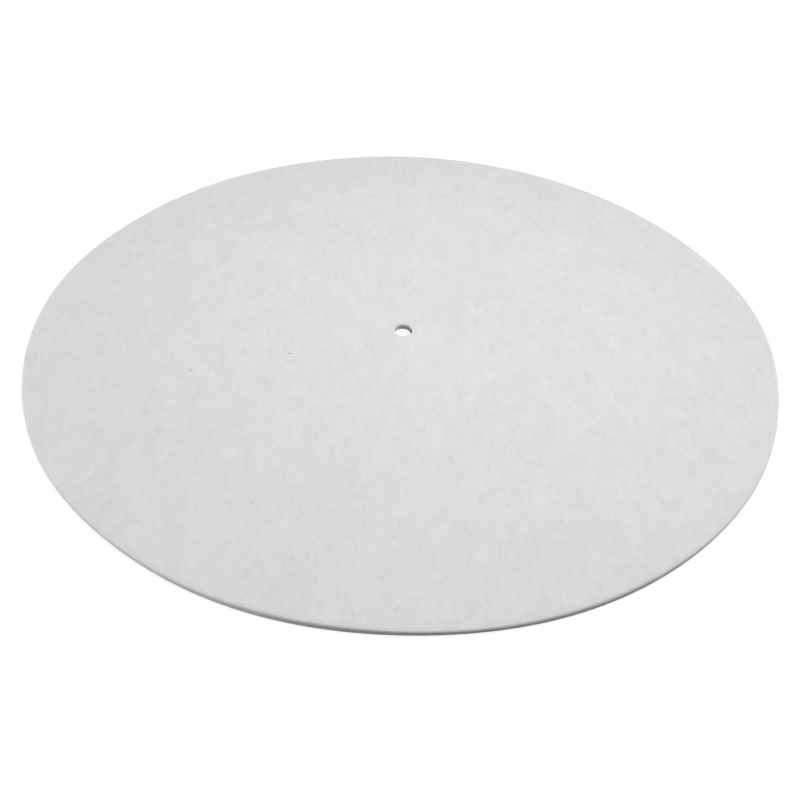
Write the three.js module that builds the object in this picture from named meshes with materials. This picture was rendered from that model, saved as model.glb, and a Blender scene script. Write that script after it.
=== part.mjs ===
// A platter mat for a record turntable: one round blank of pressed white felt, die-cut in a single
// stroke, with a punched hole for the spindle in the middle. It lies on the platter and the record
// lies on it. The mat is a plain disc in one piece: no liner, backing, stitching or label.
//
// Frame: millimetres, +Z up. The origin is the middle of the underside, on the spindle's axis.

import * as THREE from "three";

// Driving sizes, in millimetres
const matDiameter = 295;
const matThickness = 2;
const spindleHoleDiameter = 7.2;

// The die comes down through the top face and draws the fibres over, so the upper corners of a cut
// are full and soft, and the lower corners stay small.
const rimUpperRound = 0.9;
const rimLowerRound = 0.35;
const holeUpperRound = 0.7;
const holeLowerRound = 0.25;

// Facets
const stepsRound = 180;
const stepsPerCorner = 2;

const feltColour = 0xdcdcdc;

// The two rounds of a cut wall together take at most this share of the wall's height, so that a
// straight stretch of cut stays between them.
const mostOfWallInRounds = 0.98;

function fittedRounds(upper, lower) {
  const share = Math.min(1, (mostOfWallInRounds * matThickness) / (upper + lower));
  return { upper: upper * share, lower: lower * share };
}

// The section on one side of the axis, x outwards and y up: along the underside, up the rim's cut
// wall, back over the top face and down the hole's cut wall.
function matSection() {
  const rimRadius = matDiameter / 2;
  const holeRadius = spindleHoleDiameter / 2;
  const rim = fittedRounds(rimUpperRound, rimLowerRound);
  const hole = fittedRounds(holeUpperRound, holeLowerRound);

  const section = new THREE.Path();
  section.moveTo(holeRadius + hole.lower, 0);
  section.lineTo(rimRadius - rim.lower, 0);
  section.absarc(rimRadius - rim.lower, rim.lower, rim.lower, -Math.PI / 2, 0);
  section.lineTo(rimRadius, matThickness - rim.upper);
  section.absarc(rimRadius - rim.upper, matThickness - rim.upper, rim.upper, 0, Math.PI / 2);
  section.lineTo(holeRadius + hole.upper, matThickness);
  section.absarc(holeRadius + hole.upper, matThickness - hole.upper, hole.upper, Math.PI / 2, Math.PI);
  section.lineTo(holeRadius, hole.lower);
  section.absarc(holeRadius + hole.lower, hole.lower, hole.lower, Math.PI, 1.5 * Math.PI);
  return section.getPoints(stepsPerCorner);
}

// The disc is its section turned once round the spindle's axis, then stood from +Y up to +Z up.
function feltMat() {
  const felt = new THREE.MeshStandardMaterial({ color: feltColour, roughness: 0.95, metalness: 0 });
  const disc = new THREE.Mesh(new THREE.LatheGeometry(matSection(), stepsRound), felt);
  disc.name = "felt_mat";
  disc.rotation.x = Math.PI / 2;
  return disc;
}

const platterMat = new THREE.Group();
platterMat.add(feltMat());

export default platterMat;
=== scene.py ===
"""A white felt platter mat for a record turntable, lying flat on a white table.

The mat is one disc of pressed wool felt. It is made here as the felt itself, then the loose fibres
on its face, the fibre ends that stand out of its two cut walls and the few coarse fibres that came
in with the wool. Then come the table, the light and the camera. Metres, +Z up.
"""

import math
import random

import bpy
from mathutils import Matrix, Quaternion, Vector, noise


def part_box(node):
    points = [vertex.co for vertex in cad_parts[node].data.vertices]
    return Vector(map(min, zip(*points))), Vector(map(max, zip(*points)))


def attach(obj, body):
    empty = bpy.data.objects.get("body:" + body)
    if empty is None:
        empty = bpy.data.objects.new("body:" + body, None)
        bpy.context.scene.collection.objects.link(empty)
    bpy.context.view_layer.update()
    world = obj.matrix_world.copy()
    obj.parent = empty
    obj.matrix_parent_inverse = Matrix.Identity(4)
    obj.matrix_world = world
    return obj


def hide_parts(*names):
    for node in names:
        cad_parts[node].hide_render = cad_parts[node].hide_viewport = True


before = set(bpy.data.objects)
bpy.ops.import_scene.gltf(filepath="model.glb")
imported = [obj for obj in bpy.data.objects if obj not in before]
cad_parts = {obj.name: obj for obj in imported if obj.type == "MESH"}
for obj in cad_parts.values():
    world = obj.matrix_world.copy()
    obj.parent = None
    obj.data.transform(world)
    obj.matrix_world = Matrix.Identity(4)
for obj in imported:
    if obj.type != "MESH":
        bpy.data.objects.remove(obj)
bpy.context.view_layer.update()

# THE FELT
# The real piece is a sheet of white wool felt, pressed to 2 mm and cut to a disc by one stroke of a
# die, which punched the spindle hole too. The knife drew the fibres of the upper face over the cut,
# so the upper edges are full and soft.

MM = 0.001
disc_low, disc_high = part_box("felt_mat")
thickness = disc_high.z - disc_low.z
rim_radius = (disc_high.x - disc_low.x) / 2
hole_radius = min(v.co.xy.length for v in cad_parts["felt_mat"].data.vertices)

rim_upper_round = 0.9 * MM
rim_lower_round = 0.35 * MM
hole_upper_round = 0.70 * MM
hole_lower_round = 0.25 * MM

# The die pressed the felt down beside the knife, so the face falls away towards the rim.
rim_fall = 0.15 * MM
rim_fall_reach = 4 * MM

# The felt closes up a little behind the punch, so the hole is narrower at its foot.
hole_taper = 0.12 * MM
hole_reach = 1.5 * MM

# Off the die the blank relaxes a little out of round, and less so inwards from the rim:
# (waves in a turn, their height, degrees to a crest)
rim_waves = (
    (4, 0.25 * MM, 12),
    (5, 0.30 * MM, 17),
    (6, 0.14 * MM, 7),
    (7, 0.08 * MM, 17),
    (8, 0.10 * MM, 5),
    (9, 0.18 * MM, 8),
)
rim_waves_reach = 20 * MM

# The knife of the die bends a little between its screws, so the foot of the cut runs in and out
# under the rim. The fade is the power by which that dies away inwards.
foot_waves = 8
foot_wave_height = 0.28 * MM
foot_wave_crest = -59.5
foot_tuck = 0.14 * MM
foot_fade = 10

# How far the pressed face rises and falls: (across, height) of each size of unevenness. Each is
# cut from the noise this far from the last, so that no two run alike.
face_waves = ((55 * MM, 0.07 * MM), (11 * MM, 0.03 * MM), (3.2 * MM, 0.018 * MM))
face_waves_apart = 7.3

# The cut walls are a little rough, and hardly anything beside them, so the fade is a steep one.
cut_grain = 0.7 * MM
cut_roughness = 0.03 * MM
cut_roughness_fade = 40

# The steps of the mesh
face_step = 0.97 * MM
underside_step = 3.0 * MM
fewest_in_a_ring = 72
steps_on_a_wall = 4
steps_on_an_upper_round = 5
steps_on_a_lower_round = 3


def face_height(x, y):
    """How high the felt's soft upper face lies at a place on the disc."""
    height = thickness
    for k, (across, wave_height) in enumerate(face_waves):
        cut = Vector((x / across, y / across, face_waves_apart * k))
        height += wave_height * noise.noise(cut)
    from_rim = max(0, rim_radius - math.hypot(x, y))
    return height - rim_fall * max(0, 1 - from_rim / rim_fall_reach) ** 2


def out_of_round(turn):
    """How much further out than a true circle the rim is at an angle."""
    return sum(
        height * math.cos(waves * (turn - math.radians(crest)))
        for waves, height, crest in rim_waves
    )


def foot_shift(turn):
    """How much further out than the rim above it the foot of the cut is at an angle."""
    from_crest = turn - math.radians(foot_wave_crest)
    return foot_wave_height * math.cos(foot_waves * from_crest) - foot_tuck


def in_soft_felt(radius, height, turn):
    """Where a point of the ideal disc lies in the soft one."""
    up = height / thickness
    near_rim = max(0, 1 - (rim_radius - radius) / rim_waves_reach)
    near_hole = max(0, 1 - (radius - hole_radius) / hole_reach)
    on_a_cut = max(near_rim**cut_roughness_fade, near_hole)
    ideal = Vector((radius * math.cos(turn), radius * math.sin(turn), height))
    rough = on_a_cut * cut_roughness * noise.noise(ideal / cut_grain)
    radius += near_rim * out_of_round(turn) + rough
    radius += (1 - up) * (near_rim**foot_fade * foot_shift(turn) - near_hole * hole_taper)
    x, y = radius * math.cos(turn), radius * math.sin(turn)
    return Vector((x, y, height + up * (face_height(x, y) - thickness)))


def section():
    """The rings of the disc, in order round its section: (radius, height, step along the ring)."""
    rings = []

    def flat(start, end, height, step):
        """Rings across a flat face, from one radius to another."""
        count = max(1, round(abs(end - start) / step))
        rings.extend((start + (end - start) * k / count, height, step) for k in range(count))

    def corner(radius, height, size, start, count):
        """Rings round a quarter of a circle about this middle, from an angle in degrees."""
        for k in range(count):
            turn = math.radians(start + 90 * k / count)
            out = radius + size * math.cos(turn)
            rings.append((out, height + size * math.sin(turn), face_step))

    def wall(radius, start, end):
        """Rings along a cut wall, from one height to another."""
        for k in range(steps_on_a_wall):
            rings.append((radius, start + (end - start) * k / steps_on_a_wall, face_step))

    rim_low, hole_low = rim_radius - rim_lower_round, hole_radius + hole_lower_round
    rim_high, hole_high = rim_radius - rim_upper_round, hole_radius + hole_upper_round
    rim_top, hole_top = thickness - rim_upper_round, thickness - hole_upper_round

    flat(hole_low, rim_low, 0, underside_step)
    corner(rim_low, rim_lower_round, rim_lower_round, -90, steps_on_a_lower_round)
    wall(rim_radius, rim_lower_round, rim_top)
    corner(rim_high, rim_top, rim_upper_round, 0, steps_on_an_upper_round)
    flat(rim_high, hole_high, thickness, face_step)
    corner(hole_high, hole_top, hole_upper_round, 90, steps_on_an_upper_round)
    wall(hole_radius, hole_top, hole_lower_round)
    corner(hole_low, hole_lower_round, hole_lower_round, 180, steps_on_a_lower_round)
    return rings


def zip_rings(one, other):
    """Triangles between two closed rings of vertex numbers, which may differ in length."""
    faces, i, j = [], 0, 0
    while i < len(one) or j < len(other):
        if j == len(other) or (i < len(one) and (i + 0.5) / len(one) < (j + 0.5) / len(other)):
            faces.append((one[i % len(one)], other[j % len(other)], one[(i + 1) % len(one)]))
            i += 1
        else:
            faces.append((one[i % len(one)], other[j % len(other)], other[(j + 1) % len(other)]))
            j += 1
    return faces


def mesh_object(name, places, faces):
    """A smooth-shaded mesh under this name, in the scene."""
    mesh = bpy.data.meshes.new(name)
    mesh.from_pydata(places, [], faces)
    mesh.shade_smooth()
    made = bpy.data.objects.new(name, mesh)
    bpy.context.scene.collection.objects.link(made)
    return made


def felt_disc():
    """The soft disc: its section's rings, each half a step round from the last, zipped together."""
    places, rings, half_turn = [], [], 0
    for radius, height, step in section():
        count = max(fewest_in_a_ring, round(2 * math.pi * radius / step))
        half_turn = 0.5 - half_turn
        turns = [2 * math.pi * (k + half_turn) / count for k in range(count)]
        rings.append(range(len(places), len(places) + count))
        places += [in_soft_felt(radius, height, turn) for turn in turns]
    faces = []
    for ring, following in zip(rings, rings[1:] + rings[:1]):
        faces += zip_rings(ring, following)
    return mesh_object("pressed_felt_disc", places, faces)


def linear(hex_colour):
    """An sRGB colour such as 0xDCDCDC as linear red, green, blue and alpha."""
    parts = [(hex_colour >> shift & 255) / 255 for shift in (16, 8, 0)]
    return [c / 12.92 if c <= 0.04045 else ((c + 0.055) / 1.055) ** 2.4 for c in parts] + [1]


def add(tree, kind, sockets, **settings):
    """Adds a node with its settings. A socket takes a value, or a node's output to link from."""
    made = tree.nodes.new(kind)
    for name, value in settings.items():
        setattr(made, name, value)
    for name, value in sockets.items():
        if isinstance(value, bpy.types.NodeSocket):
            tree.links.new(value, made.inputs[name])
        else:
            made.inputs[name].default_value = value
    return made


# The felt's lightest and darkest tones, and the grey painted into its hollows as their shade
felt_light = 0xE6E6E6
felt_shade = 0xD2D2D2
painted_hollow_shade = 0xA6A6A6

# Wool gives back no gloss. Its roughness is for the darkest and the lightest tone.
felt_roughness = (1.0, 0.9)
felt_specular = 0.25
felt_sheen = 0.1

# What the felt is built up of, coarse to fine: degrees it is turned by, its lumps' size in mm
# across, along and deep, its share of the tone, and how far it stands up in mm. The wool was carded
# from front to back, so the lumps are longer that way. Wool fibre is 0.03 mm thick, too fine to
# show here, so the crossing fibres are drawn as strands of 0.28 mm.
felt_layers = (
    (0, (60, 70, 60), 0.16, 0.0),
    (9, (9.5, 16, 11), 0.36, 0.05),
    (-8, (4.0, 7.4, 4.6), 0.40, 0.05),
    (11, (2.1, 4.2, 2.6), 0.40, 0.035),
    (-5, (1.1, 2.4, 1.3), 0.17, 0.006),
    (8, (4.0, 0.28, 0.35), 0.012, 0.0006),
    (51, (3.6, 0.28, 0.35), 0.012, 0.0006),
    (97, (4.0, 0.28, 0.35), 0.012, 0.0006),
    (142, (3.4, 0.28, 0.35), 0.012, 0.0006),
)

# Small hollows between the felted tufts, which the press left longer from front to back. Little
# light gets into them, so their shade is painted into the felt's colour: their size in mm, the
# level of the pattern under which one starts and the level where it is deepest, and its painted
# shade
hollow_kinds = (
    ((1.9, 3.8), 0.36, 0.15, 0.10),
    ((1.3, 2.0), 0.33, 0.15, 0.045),
)

# The deepest single hollows: place on the mat, half width and half length in mm, degrees turned,
# and painted shade
deep_hollows = (
    ((36.8, -94.6), (0.9, 2.4), 0, 0.24),
    ((61.2, -93.3), (0.9, 1.5), 0, 0.18),
    ((88.3, -90.6), (0.6, 2.4), 0, 0.18),
    ((74.2, -85.8), (0.7, 1.1), 0, 0.26),
    ((9.1, -82.9), (0.8, 1.2), 0, 0.17),
    ((-4.3, -89.3), (0.7, 1.2), 0, 0.17),
    ((-0.7, -110.5), (1.1, 2.2), -30, 0.13),
    ((1.1, -138.6), (0.8, 2.4), -14, 0.23),
    ((28.5, -135.0), (0.8, 1.6), 0, 0.18),
    ((-12.5, -139.8), (1.1, 1.5), 0, 0.14),
    ((-32.0, -120.7), (1.0, 2.6), 0, 0.16),
    ((-47.6, -97.9), (0.7, 1.6), 0, 0.21),
    ((-83.7, -108.1), (1.5, 2.0), 0, 0.12),
    ((-86.3, -64.0), (1.3, 2.8), 0, 0.11),
)

# In mm: a hollow's depth per unit of painted shade, and a size that takes it straight down into
# the felt
hollow_depth = 0.20
straight_down = 900


def pressed_wool_felt():
    """Dull white with no gloss: crossing fibres, tufts a few mm across, hollows in painted shade.
    """
    felt = bpy.data.materials.new("pressed_wool_felt")
    felt.use_nodes = True
    tree = felt.node_tree
    shader = tree.nodes["Principled BSDF"]
    place = add(tree, "ShaderNodeTexCoord", {}).outputs["Object"]
    in_mm = add(tree, "ShaderNodeVectorMath", {0: place, "Scale": 1 / MM}, operation="SCALE")

    def spot(size, turned=0, centre=(0, 0)):
        """What a mapping takes to count lumps of this size, turned and moved on the mat."""
        turned = (0, 0, math.radians(turned))
        where = {"Vector": in_mm.outputs["Vector"], "Location": (*centre, 0), "Rotation": turned}
        return {**where, "Scale": size}

    tone = 0.5 - sum(share for turned, size, share, height in felt_layers) / 2
    relief = 0.0
    for turned, size, share, height in felt_layers:
        where = add(tree, "ShaderNodeMapping", spot(size, turned), vector_type="TEXTURE")
        lumps = {"Vector": where.outputs["Vector"], "Scale": 1, "Detail": 1}
        lumps = add(tree, "ShaderNodeTexNoise", lumps).outputs["Fac"]
        tone = {0: lumps, 1: share, 2: tone}
        tone = add(tree, "ShaderNodeMath", tone, operation="MULTIPLY_ADD").outputs[0]
        relief = {0: lumps, 1: height, 2: relief}
        relief = add(tree, "ShaderNodeMath", relief, operation="MULTIPLY_ADD").outputs[0]

    hollows = []
    for size, start, deepest, shade in hollow_kinds:
        where = spot((*size, straight_down))
        where = add(tree, "ShaderNodeMapping", where, vector_type="TEXTURE").outputs["Vector"]
        lumps = {"Vector": where, "Scale": 1, "Detail": 0}
        lumps = add(tree, "ShaderNodeTexNoise", lumps).outputs["Fac"]
        hollows.append({"Value": lumps, "From Min": start, "From Max": deepest, "To Max": shade})
    for centre, size, turned, shade in deep_hollows:
        where = spot((*size, straight_down), turned, centre)
        where = add(tree, "ShaderNodeMapping", where, vector_type="TEXTURE").outputs["Vector"]
        away = add(tree, "ShaderNodeVectorMath", {0: where}, operation="LENGTH").outputs["Value"]
        hollows.append({"Value": away, "From Min": 1, "From Max": 0, "To Max": shade})

    # The hollows' shade, which is painted into the felt's colour
    painted_shade = 0.0
    for hollow in hollows:
        hollow = add(tree, "ShaderNodeMapRange", hollow, interpolation_type="SMOOTHSTEP")
        painted_shade = {0: hollow.outputs["Result"], 1: painted_shade}
        painted_shade = add(tree, "ShaderNodeMath", painted_shade, operation="ADD").outputs[0]
    relief = {0: painted_shade, 1: -hollow_depth, 2: relief}
    relief = add(tree, "ShaderNodeMath", relief, operation="MULTIPLY_ADD").outputs[0]

    colour = {"Factor": tone, "A": linear(felt_shade), "B": linear(felt_light)}
    colour = add(tree, "ShaderNodeMix", colour, data_type="RGBA").outputs["Result"]
    # Painted shade: the hollows are darkened towards the painted grey in the colour itself
    colour = {"Factor": painted_shade, "A": colour, "B": linear(painted_hollow_shade)}
    colour = add(tree, "ShaderNodeMix", colour, data_type="RGBA").outputs["Result"]
    bump = add(tree, "ShaderNodeBump", {"Height": relief, "Distance": MM}).outputs["Normal"]
    rough = {"Value": tone, "To Min": felt_roughness[0], "To Max": felt_roughness[1]}
    rough = add(tree, "ShaderNodeMapRange", rough).outputs["Result"]
    tree.links.new(colour, shader.inputs["Base Color"])
    tree.links.new(bump, shader.inputs["Normal"])
    tree.links.new(rough, shader.inputs["Roughness"])
    shader.inputs["Specular IOR Level"].default_value = felt_specular
    shader.inputs["Sheen Weight"].default_value = felt_sheen
    return felt


felt_mat = felt_disc()
felt_mat.data.materials.append(pressed_wool_felt())
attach(felt_mat, "root")
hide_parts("felt_mat")

# THE LOOSE FIBRES
# Wool fibres that the felting left free along part of their length. They lie curled on the upper
# face, most of them from front to back as the wool was carded, and both ends are felted in.

fibre_thickness = 0.03 * MM
fibre_shortest = 3.5 * MM
fibre_longest = 10 * MM
fibre_points = 7

# In radians: how far the fibres turn aside from front to back, and how far each one bends
fibre_spread = 0.8
fibre_curl = 0.4

fibre_end_depth = 0.05 * MM
fibre_arch = 0.002 * MM
fibre_free_of_hole = 1.0 * MM
fibre_free_of_rim = 1.2 * MM

# Two pieces of them, so that neither grows too heavy: the name and the seed of each
fibres_in_a_piece = 5200
fibre_pieces = (("loose_fibres", 11), ("more_loose_fibres", 12))

fibre_tints = {
    "wool_fibre_pale": 0xF6F6F6,
    "wool_fibre_plain": 0xEDEDED,
    "wool_fibre_dim": 0xE4E4E4,
}
fibre_roughness = 0.7
fibre_specular = 0.3


def thread(points, thick, beside, places, faces):
    """Adds to a mesh a closed tube, three-sided and pointed at both ends, along some points."""
    first = len(places)
    last = first + 3 * (len(points) - 2) + 1
    places.append(points[0])
    for before, point, after in zip(points, points[1:], points[2:]):
        along = (after - before).normalized()
        across = along.cross(beside).normalized()
        over = along.cross(across)
        for turn in (0, 2 * math.pi / 3, 4 * math.pi / 3):
            places.append(point + thick / 2 * (math.cos(turn) * across + math.sin(turn) * over))
    places.append(points[-1])
    for k, following in ((0, 1), (1, 2), (2, 0)):
        faces.append((first, first + 1 + following, first + 1 + k))
        for ring in range(first + 1, last - 3, 3):
            faces.append((ring + k, ring + following, ring + 3 + following, ring + 3 + k))
        faces.append((last, last - 3 + k, last - 3 + following))


def wool_fibre(name, tint):
    """Pale, with a faint silky edge. A fibre is too thin to show a pattern, so it has one tint."""
    fibre = bpy.data.materials.new(name)
    fibre.use_nodes = True
    shader = fibre.node_tree.nodes["Principled BSDF"]
    shader.inputs["Base Color"].default_value = linear(tint)
    shader.inputs["Roughness"].default_value = fibre_roughness
    shader.inputs["Specular IOR Level"].default_value = fibre_specular
    shader.inputs["Sheen Weight"].default_value = felt_sheen
    return fibre


def curled_fibre(draw, x, y, length):
    """Points along a fibre that wanders over the face from a place, with both ends sunk in."""
    heading = math.pi / 2 + draw.gauss(0, fibre_spread)
    bend = draw.gauss(0, fibre_curl)
    points = []
    for k in range(fibre_points):
        share = k / (fibre_points - 1)
        lift = fibre_arch * math.sin(math.pi * share) - (fibre_end_depth if share in (0, 1) else 0)
        points.append(Vector((x, y, face_height(x, y) + lift)))
        heading += bend + draw.gauss(0, fibre_curl)
        x += length / (fibre_points - 1) * math.cos(heading)
        y += length / (fibre_points - 1) * math.sin(heading)
    return points


def loose_fibres(name, wool_tints, seed):
    """Fibres strewn evenly over the face, each of one of the tints."""
    draw = random.Random(seed)
    inner = hole_radius + fibre_free_of_hole
    outer = rim_radius - fibre_free_of_rim
    places, faces, tints = [], [], []
    left = fibres_in_a_piece
    while left:
        radius = math.sqrt(draw.uniform(inner**2, outer**2))
        turn = draw.uniform(0, 2 * math.pi)
        length = draw.uniform(fibre_shortest, fibre_longest)
        points = curled_fibre(draw, radius * math.cos(turn), radius * math.sin(turn), length)
        tint = draw.randrange(len(wool_tints))
        if all(inner < point.xy.length < outer for point in points):
            before = len(faces)
            thread(points, fibre_thickness, Vector((0, 0, 1)), places, faces)
            tints += [tint] * (len(faces) - before)
            left -= 1
    fibres = mesh_object(name, places, faces)
    for wool in wool_tints:
        fibres.data.materials.append(wool)
    fibres.data.polygons.foreach_set("material_index", tints)
    return fibres


wool_tints = [wool_fibre(name, tint) for name, tint in fibre_tints.items()]
for name, seed in fibre_pieces:
    fibres = loose_fibres(name, wool_tints, seed)
    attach(fibres, "root")

# THE CUT ENDS
# The knife leaves the ends of the cut fibres standing out of the rim's wall and of the hole's, most
# of them along the soft upper edge. They are short, because the die shears them off flush.

cut_end_thickness = 0.035 * MM
cut_end_shortest = 0.10 * MM
cut_end_longest = 0.34 * MM
cut_end_root = 0.04 * MM
share_on_the_shoulder = 0.55
cut_ends_on_the_rim = 6800
cut_ends_in_the_hole = 260

# An end leans out by at least the first of these, aside by about the second, and its tip bends by
# about the third. It has points at these shares of its length.
least_lean_out = 0.3
lean_aside = 0.6
tip_bend = 0.12
cut_end_points = (0.3, 0.65, 1)


def cut_ends(name, count, seed, wall_radius, side, upper_round, lower_round):
    """Fibre ends on one cut wall. The side is 1 where it looks outwards, -1 where it looks in."""
    draw = random.Random(seed)
    places, faces = [], []
    for end in range(count):
        turn = draw.uniform(0, 2 * math.pi)
        slope = draw.uniform(0, math.pi / 2) if draw.random() < share_on_the_shoulder else 0
        radius = wall_radius - side * upper_round * (1 - math.cos(slope))
        height = thickness - upper_round * (1 - math.sin(slope))
        if slope == 0:
            height = draw.uniform(lower_round, height)
        level = side * math.cos(slope)
        straight_out = Vector((level * math.cos(turn), level * math.sin(turn), math.sin(slope)))
        round_the_rim = Vector((-math.sin(turn), math.cos(turn), 0))
        out = draw.uniform(least_lean_out, 1) * straight_out
        aside = draw.gauss(0, lean_aside) * round_the_rim
        lean = (out + aside).normalized()
        bend = Vector([draw.gauss(0, tip_bend) for axis in "xyz"])
        length = draw.uniform(cut_end_shortest, cut_end_longest)
        start = in_soft_felt(radius, height, turn)
        points = [start - cut_end_root * straight_out]
        points += [start + length * (share * lean + share**2 * bend) for share in cut_end_points]
        thread(points, cut_end_thickness, lean.orthogonal(), places, faces)
    return mesh_object(name, places, faces)


rim_ends = cut_ends(
    "rim_cut_ends", cut_ends_on_the_rim, 21, rim_radius, 1, rim_upper_round, rim_lower_round
)
hole_ends = cut_ends(
    "hole_cut_ends", cut_ends_in_the_hole, 22, hole_radius, -1, hole_upper_round, hole_lower_round
)
for ends in (rim_ends, hole_ends):
    ends.data.materials.append(bpy.data.materials["wool_fibre_plain"])
    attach(ends, "root")

# THE COARSE FIBRES
# A few short coarse hairs came in with the wool. Some took no bleach and show as dark specks, and
# two lie bright on the face. Each is laid on the felt with both ends pressed in.

dark_hair_tint = 0x4E4E4E
pale_hair_tint = 0xF4F4F4

# How deep an end is pressed in, as a share of the thickness, and how far a hair bends, in degrees
hair_sink = 0.3
hair_bend = 15

# A hair has points at these shares of its length, from its middle.
hair_points = (-0.5, -0.3, -0.1, 0.1, 0.3, 0.5)

# Place on the mat in mm, degrees it is turned, length and thickness in mm
dark_hairs = (
    ((-43.8, -18.1), 8, 1.15, 0.30),
    ((-80.1, -30.5), 20, 0.75, 0.26),
    ((-131.5, -22.2), 70, 0.60, 0.16),
)
pale_hairs = (
    ((8.1, -106.4), 90, 4.4, 0.14),
    ((-103.4, -87.4), 88, 3.4, 0.09),
)


def coarse_hairs(name, hairs, tint):
    """Short thick hairs of one tint, each highest in its middle and a little bent."""
    places, faces = [], []
    for (x, y), turned, length, thick in hairs:
        points = []
        for share in hair_points:
            turn = math.radians(turned + hair_bend * share)
            at_x = x * MM + share * length * MM * math.cos(turn)
            at_y = y * MM + share * length * MM * math.sin(turn)
            sink = hair_sink if abs(share) == 0.5 else -hair_sink * (0.5 - abs(share))
            points.append(Vector((at_x, at_y, face_height(at_x, at_y) - thick * MM * sink)))
        thread(points, thick * MM, Vector((0, 0, 1)), places, faces)
    made = mesh_object(name, places, faces)
    made.data.materials.append(wool_fibre(name + "_wool", tint))
    return made


for hairs in (
    coarse_hairs("dark_coarse_hairs", dark_hairs, dark_hair_tint),
    coarse_hairs("pale_coarse_hairs", pale_hairs, pale_hair_tint),
):
    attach(hairs, "root")

# THE TABLE
# A plain table top in matt white paint. In the spindle hole it shows in the plain light, with the
# shadow of the hole's edge on it. Round the mat it is brighter, so that only a faint contact shadow
# stays, and what it throws back on the mat's wall is a pale grey surface's.

table_width = 6.0
table_clearance = 0.02 * MM

# Between these distances from the middle the table turns to pure white, with no shadow on it.
shadow_near = 0.19
shadow_gone = 0.40

# Round the mat the paint's glow and its lit colour add up to white in the full light.
table_glow = 0.91
table_lit = 0x696969
table_thrown_back = 0xB3B3B3

# The paint in the hole, and how far from the middle it reaches, under the mat
table_in_the_hole = 0xF8F8F8
paint_reach = 12 * MM
white = linear(0xFFFFFF)


def seen_directly(tree):
    """1 for the camera's own, mirrored and refracted rays, 0 for the rays that carry light."""
    path = add(tree, "ShaderNodeLightPath", {}).outputs
    seen = {0: path["Is Camera Ray"], 1: path["Is Glossy Ray"]}
    seen = add(tree, "ShaderNodeMath", seen, operation="MAXIMUM").outputs[0]
    seen = {0: seen, 1: path["Is Transmission Ray"]}
    return add(tree, "ShaderNodeMath", seen, operation="MAXIMUM").outputs[0]


def white_table_paint():
    """Matt white paint that shows as pure white, and only the shadow beside the mat stays on it."""
    paint = bpy.data.materials.new("white_table_paint")
    paint.use_nodes = True
    tree = paint.node_tree
    tree.nodes.remove(tree.nodes["Principled BSDF"])
    place = add(tree, "ShaderNodeTexCoord", {}).outputs["Object"]
    away = add(tree, "ShaderNodeVectorMath", {0: place}, operation="LENGTH").outputs["Value"]

    glow = add(tree, "ShaderNodeEmission", {"Color": white, "Strength": table_glow}).outputs[0]
    lit = add(tree, "ShaderNodeBsdfDiffuse", {"Color": linear(table_lit)}).outputs[0]
    round_the_mat = add(tree, "ShaderNodeAddShader", {0: glow, 1: lit}).outputs[0]
    in_the_hole = {"Color": linear(table_in_the_hole)}
    in_the_hole = add(tree, "ShaderNodeBsdfDiffuse", in_the_hole).outputs[0]
    outside = {0: away, 1: paint_reach}
    outside = add(tree, "ShaderNodeMath", outside, operation="GREATER_THAN").outputs[0]
    near = {0: outside, 1: in_the_hole, 2: round_the_mat}
    near = add(tree, "ShaderNodeMixShader", near).outputs[0]

    far = {"Value": away, "From Min": shadow_near, "From Max": shadow_gone}
    far = add(tree, "ShaderNodeMapRange", far, interpolation_type="SMOOTHSTEP").outputs["Result"]
    plain = add(tree, "ShaderNodeEmission", {"Color": white, "Strength": 1.0}).outputs[0]
    shown = add(tree, "ShaderNodeMixShader", {0: far, 1: near, 2: plain}).outputs[0]

    back = add(tree, "ShaderNodeBsdfDiffuse", {"Color": linear(table_thrown_back)}).outputs[0]
    surface = {0: seen_directly(tree), 1: back, 2: shown}
    surface = add(tree, "ShaderNodeMixShader", surface).outputs[0]
    tree.links.new(surface, tree.nodes["Material Output"].inputs["Surface"])
    return paint


table_top = (0, 0, disc_low.z - table_clearance)
bpy.ops.mesh.primitive_plane_add(size=table_width, location=table_top)
table = bpy.context.object
table.name = "white_table"
table.data.materials.append(white_table_paint())

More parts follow.
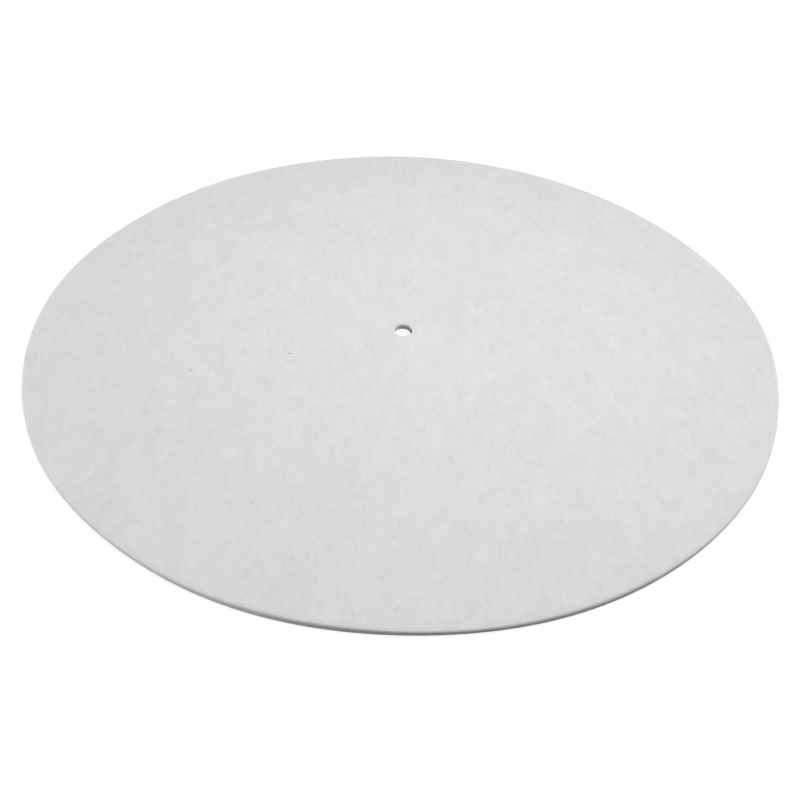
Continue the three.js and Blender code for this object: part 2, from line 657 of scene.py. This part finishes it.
# THE LIGHT
# A white room and one softbox overhead, a little behind the middle of the mat and to its right, so
# that the near wall is in shade. Two low ones at table height light the cut wall from the sides.

room_light = 0.15
world = bpy.data.worlds.new("white_room")
bpy.context.scene.world = world
world.use_nodes = True
tree = world.node_tree
strength = {"Value": seen_directly(tree), "To Min": room_light, "To Max": 1.0}
strength = add(tree, "ShaderNodeMapRange", strength).outputs["Result"]
tree.nodes["Background"].inputs["Color"].default_value = white
tree.links.new(strength, tree.nodes["Background"].inputs["Strength"])

# Where each stands, the point it looks at, its width and height, and its power in watts
softboxes = {
    "softbox_overhead": ((0.170, 0.094, 0.576), (-0.474, -0.336, 0), (0.14, 0.14), 3.73),
    "softbox_right": ((0.835, 0.304, 0.10), (0, 0, 0), (0.30, 0.14), 2.8),
    "softbox_left": ((-0.880, -0.08, 0.08), (0, 0, 0), (0.30, 0.14), 4.6),
}
for name, (place, looks_at, (width, height), power) in softboxes.items():
    lamp = bpy.data.lights.new(name, "AREA")
    lamp.shape = "ELLIPSE"
    lamp.size = width
    lamp.size_y = height
    lamp.energy = power
    stand = bpy.data.objects.new(name, lamp)
    stand.location = place
    stand.rotation_mode = "QUATERNION"
    stand.rotation_quaternion = (Vector(looks_at) - Vector(place)).to_track_quat("-Z", "Y")
    stand.visible_camera = False
    bpy.context.scene.collection.objects.link(stand)

# THE CAMERA
# It stands in front of the mat and looks down on it at about 40 degrees, through a normal lens. It
# is held a little out of level, so the mat's right side comes lower in the picture.

camera_place = Vector((0, -0.32714, 0.24835))
camera_aim = Vector((-0.00027, -0.04095, 0))
camera_roll = math.radians(2.08)
lens = bpy.data.cameras.new("camera")
lens.lens = 45.624
lens.sensor_width = 36
lens.clip_start = 0.01
camera = bpy.data.objects.new("camera", lens)
camera.location = camera_place
camera.rotation_mode = "QUATERNION"
level = (camera_aim - camera_place).to_track_quat("-Z", "Y")
camera.rotation_quaternion = level @ Quaternion((0, 0, 1), camera_roll)
bpy.context.scene.collection.objects.link(camera)
bpy.context.scene.camera = camera
bpy.context.scene.view_settings.view_transform = "Standard"
